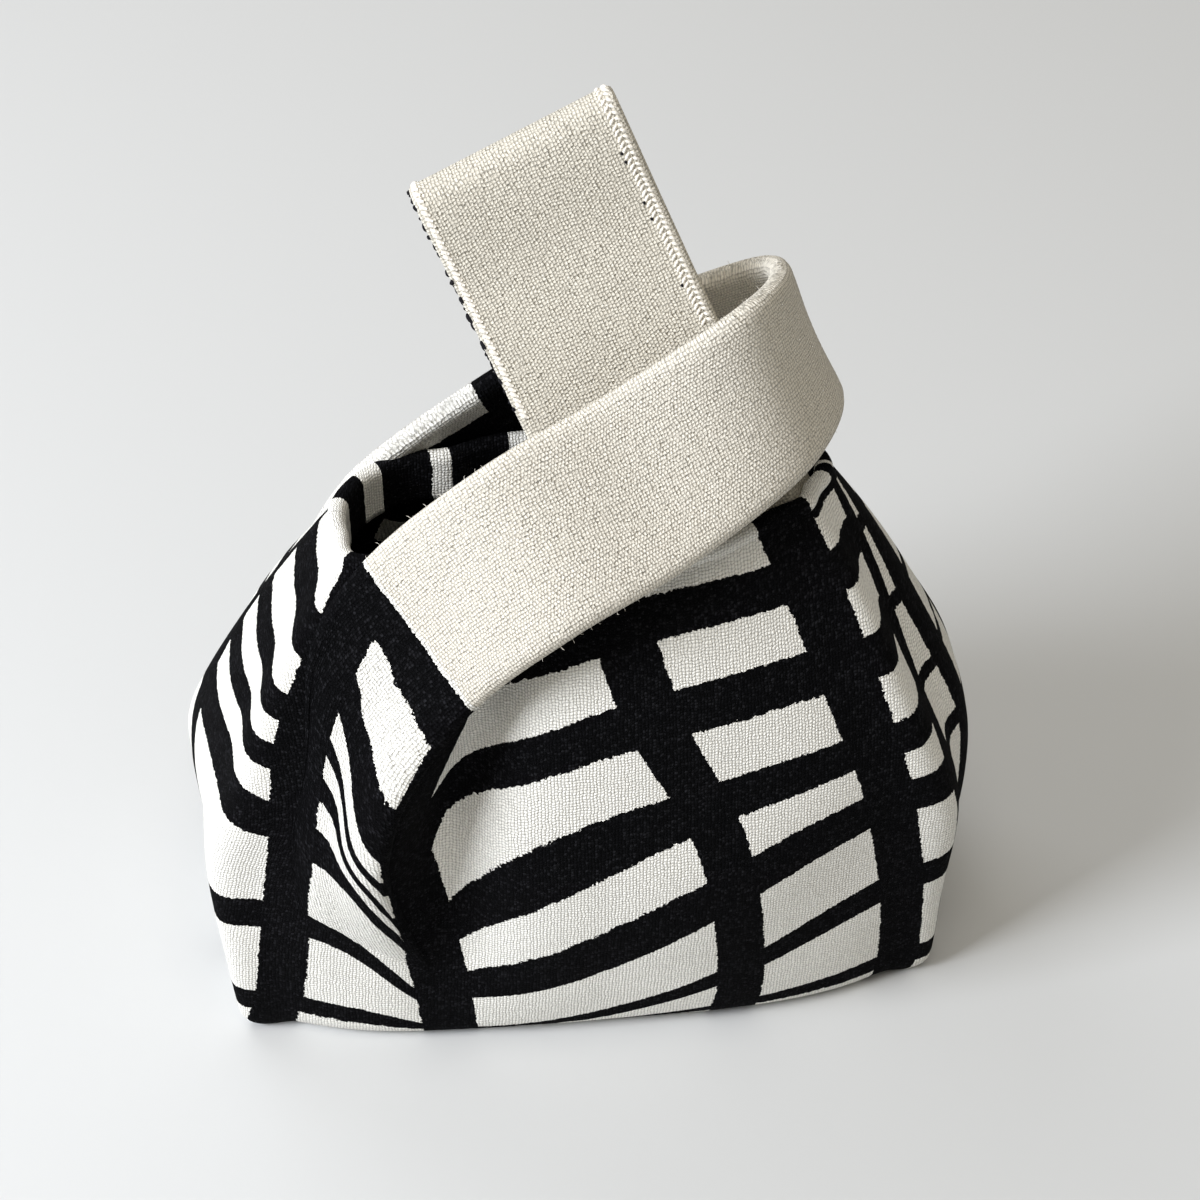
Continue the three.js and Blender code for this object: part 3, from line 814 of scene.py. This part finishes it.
def strap_edge(step, start, stop):
    """Frames along the strap: a point on its middle line, the way along it, and its outer face."""
    at = np.arange(start, stop, step)
    point = np.stack([np.interp(at, strap_run, strap_line[:, k]) for k in range(3)], 1)
    along = np.gradient(point, axis=0)
    along /= np.linalg.norm(along, axis=1, keepdims=True)
    face = np.cross(strap_across, along)
    face /= np.linalg.norm(face, axis=1, keepdims=True)
    return zip(point, along, face)


def edge_yarns(frames, make):
    """Lengths of yarn along a strap edge, each a few points: off it, along it, and out from the face."""
    ways = []
    for i, (point, along, face, edge) in enumerate(frames):
        for off, run, out in make(i):
            ways.append([point + edge * o + along * r + face * f for o, r, f in zip(off, run, out)])
    return ways


def edge_frames(side, step):
    """Frames along one edge of the strap: a point on it, and the ways along, out and off the edge."""
    off = side * strap_across
    frames = strap_edge(step, STEM_BELOW, strap_run[-1] - STEM_BELOW)
    return [(point + off * STRAP_WIDTH / 2, along, face, off) for point, along, face in frames]


def chain(i):
    """A stitch of the chain that finishes the edge, slanted like the twist of a cord."""
    tilt = 0.25 * (i % 2)
    out = (SKIN + 0.1, SKIN - 0.1 - tilt, SKIN - 1.0)
    return [((-1.4, -0.2, 0.4), (-1.2, 0, 1.2), out)]


def dash(i):
    """A ragged end of the black yarn behind, which shows past the chain here and there."""
    if dice.random() < 0.14:
        return []
    reach = dice.uniform(0.4, 1.7)
    slant = dice.uniform(-0.6, 0.6)
    out = SKIN * dice.uniform(-0.6, 0.5)
    off = dice.uniform(0.9, 1.6)
    return [((off - slant, off + 0.3, off + slant), (-reach, 0, reach), (out, out, out))]


def braid(i):
    """Two stitches that meet in a small V, along the border of the right edge."""
    push = dice.uniform(-0.12, 0.12)
    run = (push, push + 0.7, push + 1.4)
    out = (SKIN - 0.2, SKIN + 0.1, SKIN - 0.2)
    return [((near, (near + far) / 2, far), run, out) for near, far in ((0.4, -1.3), (-3.2, -1.5))]


def speck(i):
    """A fleck of black yarn outside the right edge, and now and then along the border's inner line."""
    flecks = []
    if dice.random() < 0.6:
        flecks.append(((0.7, 0.9, 0.7), (-0.5, 0, 0.5), (SKIN - 0.9,) * 3))
    if dice.random() < 0.1:
        flecks.append(((-3.6, -3.6, -3.6), (-0.5, 0, 0.5), (SKIN,) * 3))
    return flecks


def loose_ends():
    """Short ends of wool that stand off both edges of the wide loop."""
    middle = loop_grid[..., :3]
    along = np.gradient(middle, axis=0)
    ways = []
    for edge, inner in ((0, 4), (ACROSS - 1, ACROSS - 5)):
        for row in dice.integers(*FUZZ_ROWS, FUZZ_COUNT):
            off = unit(*(middle[row, edge] - middle[row, inner]))
            ahead = unit(*along[row, edge])
            out = unit(*np.cross(along[row, edge], off))
            way = unit(*(off + 0.9 * dice.uniform(-1, 1) * out + dice.uniform(-1, 1) * ahead))
            reach = dice.uniform(0.2, 1.7)
            start = middle[row, edge] + off * 2.2
            bend = dice.uniform(-0.5, 0.5, 3)
            halfway = start + way * (1.3 + reach / 2) + bend
            ways.append([start, halfway, start + way * (1.3 + reach) + bend * 0.2])
    return yarn_bits("short_handle_loose_ends", ways, FUZZ_RADIUS, white_wool)


dice = np.random.default_rng(7)
fuzz = loose_ends()
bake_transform(fuzz)
for name, side, step, make, radius, wool, slot, node in (
        ("left_edge_black", -1, 2.9, dash, 0.8, black_wool, "black_yarn", "long_handle_left_edge"),
        ("left_edge_white", -1, 1.7, chain, 0.7, white_wool, "white_yarn", None),
        ("right_edge_white", 1, 1.7, braid, 0.52, white_wool, "white_yarn", "long_handle_right_edge"),
        ("right_edge_black", 1, 2.6, speck, 0.42, black_wool, "black_yarn", None)):
    ways = edge_yarns(edge_frames(side, step), make)
    bits = on_strap(yarn_bits("long_handle_" + name, ways, radius, wool))
    if node:
        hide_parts(node)

# Legs: from inside the right of the mouth up to the stems, level with the strap's end.
LEG_ANGLE = 42
LEG_TURN = 34
LEG_DEPTH = 14
LEG_INSET = 7.9
LEG_CLOTH = 3.0


def leg(name, side, out, node):
    """One leg, laid along the hem inside the mouth and gathered to the strap's width as it rises."""
    share = np.linspace(-1, 1, ACROSS)
    angle = -side * LEG_ANGLE + side * LEG_TURN * share
    across = np.outer(share * STRAP_WIDTH / 2, strap_across)
    stem = [strap_point(out, up) + across for up in (-STEM_BELOW - 0.1, -STEM_BELOW - 7)]
    mouth = [wall(angle, z, LEG_INSET) for z in (MOUTH + 0.3, MOUTH - LEG_DEPTH)]
    run = np.array([0, 8, 40, 54]) / STITCH
    wale = share * STRAP_WIDTH / 2 / STITCH
    rows = [np.column_stack([row, wale, np.full(ACROSS, r)]) for row, r in zip(stem + mouth, run)]
    obj = strip(name, lofted(rows, 60), LEG_CLOTH, 0.0, cream_knit)
    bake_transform(obj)
    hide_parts(node)


leg("long_handle_front_leg_knit", 1, STRAP_FRONT, "long_handle_front_leg")
leg("long_handle_back_leg_knit", -1, STRAP_BACK, "long_handle_back_leg")

# Seams inside the pouch, and the stitches that hold the hem
SEAM_WIDTH = 8
SEAM_CLOTH = 2
HEM_STITCH = 4.2
HEM_STEP = 7.4


def hem_stitches():
    """The running stitch that holds the turned-in hem, seen inside the mouth."""
    rim = wall(angles, MOUTH - HEM_DEPTH + 4, 2 * HEM_ROLL - HEM_TUCK + 0.1)
    run = np.r_[0, np.cumsum(np.linalg.norm(np.diff(rim, axis=0), axis=1))]
    ways = []
    for start in np.arange(0, run[-1] - HEM_STEP, HEM_STEP):
        at = start + np.array([0, 0.5, 1]) * HEM_STITCH
        ways.append(np.stack([np.interp(at, run, rim[:, k]) for k in range(3)], 1))
    return yarn_bits("hem_running_stitch", ways, 0.55, black_wool)


stitching = hem_stitches()
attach(stitching, "bag")


def side_seam(name, angle, node):
    """The turned-in edges of both panels, pressed flat behind a side join."""
    z = np.linspace(FOOT_ROUND, MOUTH - HEM_DEPTH - 1, 60)
    middle = wall(np.full(len(z), angle), z, WALL_CLOTH + GAP)
    y = np.linspace(-SEAM_WIDTH / 2, SEAM_WIDTH / 2, 5)
    grid = middle[:, None] + y[None, :, None] * np.array([0, 1.0, 0])
    side = -1 if angle == 180 else 1
    uvs = np.stack(np.broadcast_arrays(y[None, :] / STITCH, z[:, None] / STITCH), -1)
    faces = quads(*grid.shape[:2])
    obj = piece(name, grid.reshape(-1, 3), [f[::side] for f in faces], uvs.reshape(-1, 2),
                cream_knit)
    thicken(obj, SEAM_CLOTH)
    return dressed(obj, "bag", "cream_knit", node)


def base_seam():
    """The seam that joins the wall to the base, standing up inside."""
    inset = WALL_CLOTH + GAP + np.array([0.0, 0, 0.6, 2.0, 3.4, 4, 4])
    up = np.array([1.0, 4, 5.6, 6, 5.6, 4, 1.0]) + WALL_CLOTH
    ring = angles[:-1]
    grid = wall(ring[:, None], up[None, :], inset[None, :] + FOOT_INSET)
    count = grid.shape[1]
    wrap = np.concatenate([grid, grid[:1]])
    along = np.arange(len(wrap))[:, None] * 1.6
    over = np.arange(count)[None, :] * 1.2
    uvs = np.stack(np.broadcast_arrays(along, over), -1)
    obj = piece("base_seam_yarn", wrap.reshape(-1, 3), quads(*wrap.shape[:2]), uvs.reshape(-1, 2),
                black_wool)
    return dressed(obj, "bag", "black_yarn", "base_seam")


left_seam = side_seam("left_side_seam_knit", 180, "left_side_seam")
right_seam = side_seam("right_side_seam_knit", 360, "right_side_seam")
foot_seam = base_seam()

# Floor, light and camera
bpy.ops.mesh.primitive_plane_add(size=20)
floor = bpy.context.object
floor.name = "floor"
# Matt paper: pale, even and without gloss
paper = bpy.data.materials.new("matt_white_paper")
paper.use_nodes = True
paper.node_tree.nodes["Principled BSDF"].inputs["Base Color"].default_value = hex_colour("#cbcccc")
paper.node_tree.nodes["Principled BSDF"].inputs["Roughness"].default_value = 0.9
floor.data.materials.append(paper)


def lamp(kind, name, place, aim, spread, power, colour):
    """A square lamp of a size in metres, or even light from afar, spread over an angle in degrees."""
    light = bpy.data.lights.new(name, kind)
    if kind == "SUN":
        light.angle = math.radians(spread)
    else:
        light.size = spread
    light.energy = power
    light.color = hex_colour(colour)[:3]
    obj = bpy.data.objects.new(name, light)
    obj.location = place
    obj.rotation_mode = "QUATERNION"
    obj.rotation_quaternion = (Vector(aim) - Vector(place)).to_track_quat("-Z", "Y")
    bpy.context.scene.collection.objects.link(obj)
    return obj


lamp("AREA", "window", (-1.5, -0.62, 1.1), (0, 0, 0.1), 0.8, 49.5, "#f4f8ff")
lamp("SUN", "room", (0, -0.6, 2.3), (0, 0, 0.1), 40, 0.88, "#fff8ec")
lamp("AREA", "far_window", (-0.9, 1.4, 1.6), (-0.4, 0.8, 0), 1.2, 12, "#f4f8ff")
world = bpy.data.worlds.new("room")
bpy.context.scene.world = world
world.use_nodes = True
world.node_tree.nodes["Background"].inputs["Color"].default_value = hex_colour("#f3eee2")
world.node_tree.nodes["Background"].inputs["Strength"].default_value = 0.29

CAMERA_AIM = Vector((0.013, 0.038, 0.099))
CAMERA_TURN = -6
CAMERA_RISE = 40
CAMERA_AWAY = 0.810
camera_data = bpy.data.cameras.new("camera")
camera_data.lens = 72.9
camera_data.sensor_width = 36
camera = bpy.data.objects.new("camera", camera_data)
a, e = math.radians(CAMERA_TURN), math.radians(CAMERA_RISE)
back = Vector((math.sin(a) * math.cos(e), -math.cos(a) * math.cos(e), math.sin(e)))
camera.location = CAMERA_AIM + back * CAMERA_AWAY
camera.rotation_mode = "QUATERNION"
camera.rotation_quaternion = (-back).to_track_quat("-Z", "Y")
bpy.context.scene.collection.objects.link(camera)
bpy.context.scene.camera = camera
bpy.context.scene.view_settings.view_transform = "Standard"
